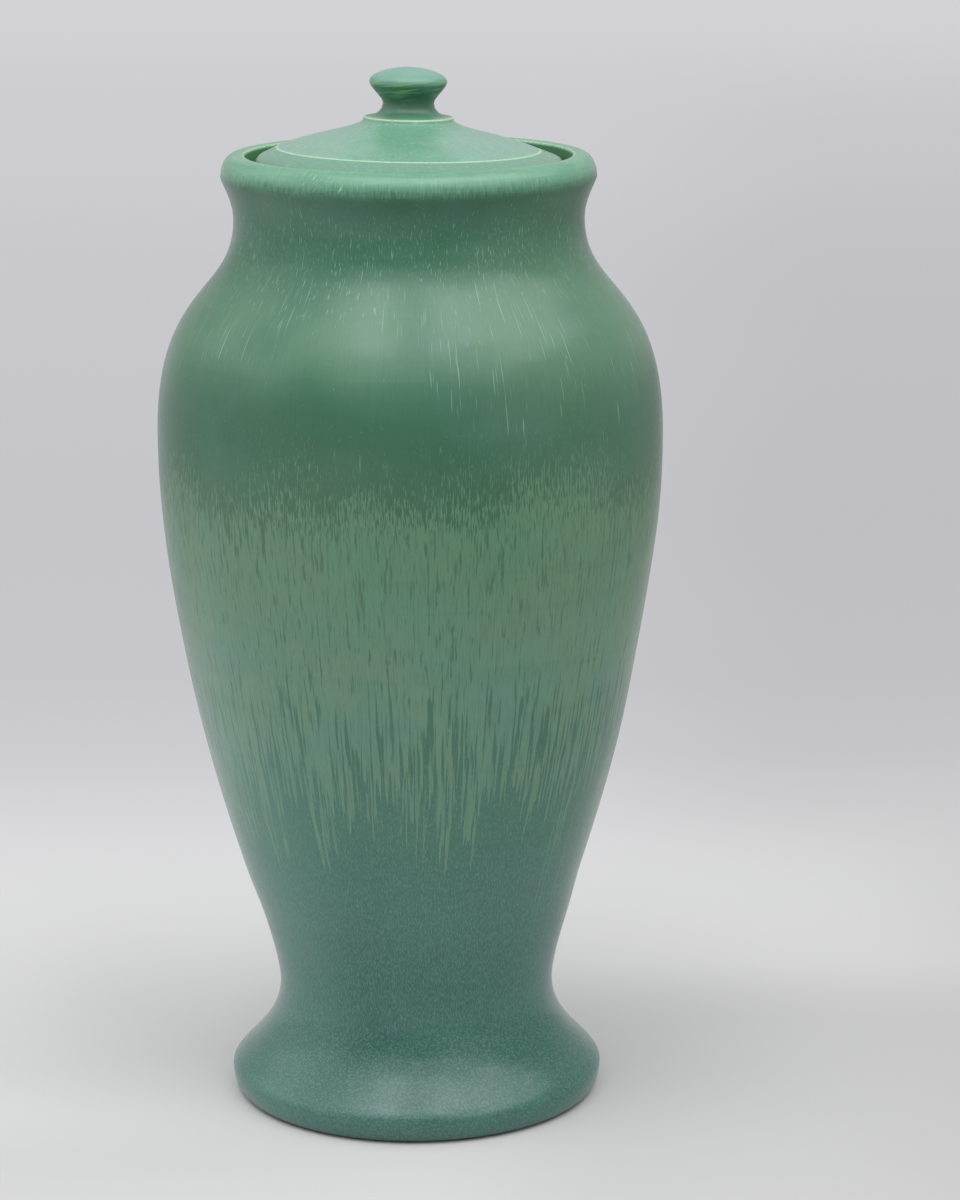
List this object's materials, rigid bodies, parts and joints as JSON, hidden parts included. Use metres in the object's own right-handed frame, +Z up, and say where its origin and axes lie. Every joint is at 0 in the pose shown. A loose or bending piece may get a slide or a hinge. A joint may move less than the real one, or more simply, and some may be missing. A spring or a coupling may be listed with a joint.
{
  "type": "urn",
  "caption": "Baluster-shaped lidded urn in glazed ceramic with a flared foot, a rolled rim and a seated lid that lifts off by its knob.",
  "frame": {"origin": "centre of the foot's resting face, on the surface that the urn stands on", "axes": "+Z up along the turning axis, from the foot to the knob; the urn is round, so +X and +Y are any two level directions"},
  "size_m": [0.158, 0.158, 0.3281],
  "materials": {
    "body_glaze": "satin streaked green glaze that darkens to blue-green at the foot",
    "lid_glaze": "satin pale green glaze, thin and yellowish on the sharp edges"
  },
  "bodies": {
    "body": {"urn_body": "body_glaze"},
    "lid": {"lid": "lid_glaze"}
  },
  "joints": [
    {"name": "lid_lift", "type": "slide", "parent": "body", "child": "lid", "axis": [0, 0, 1], "range_m": [0, 0.2]}
  ]
}
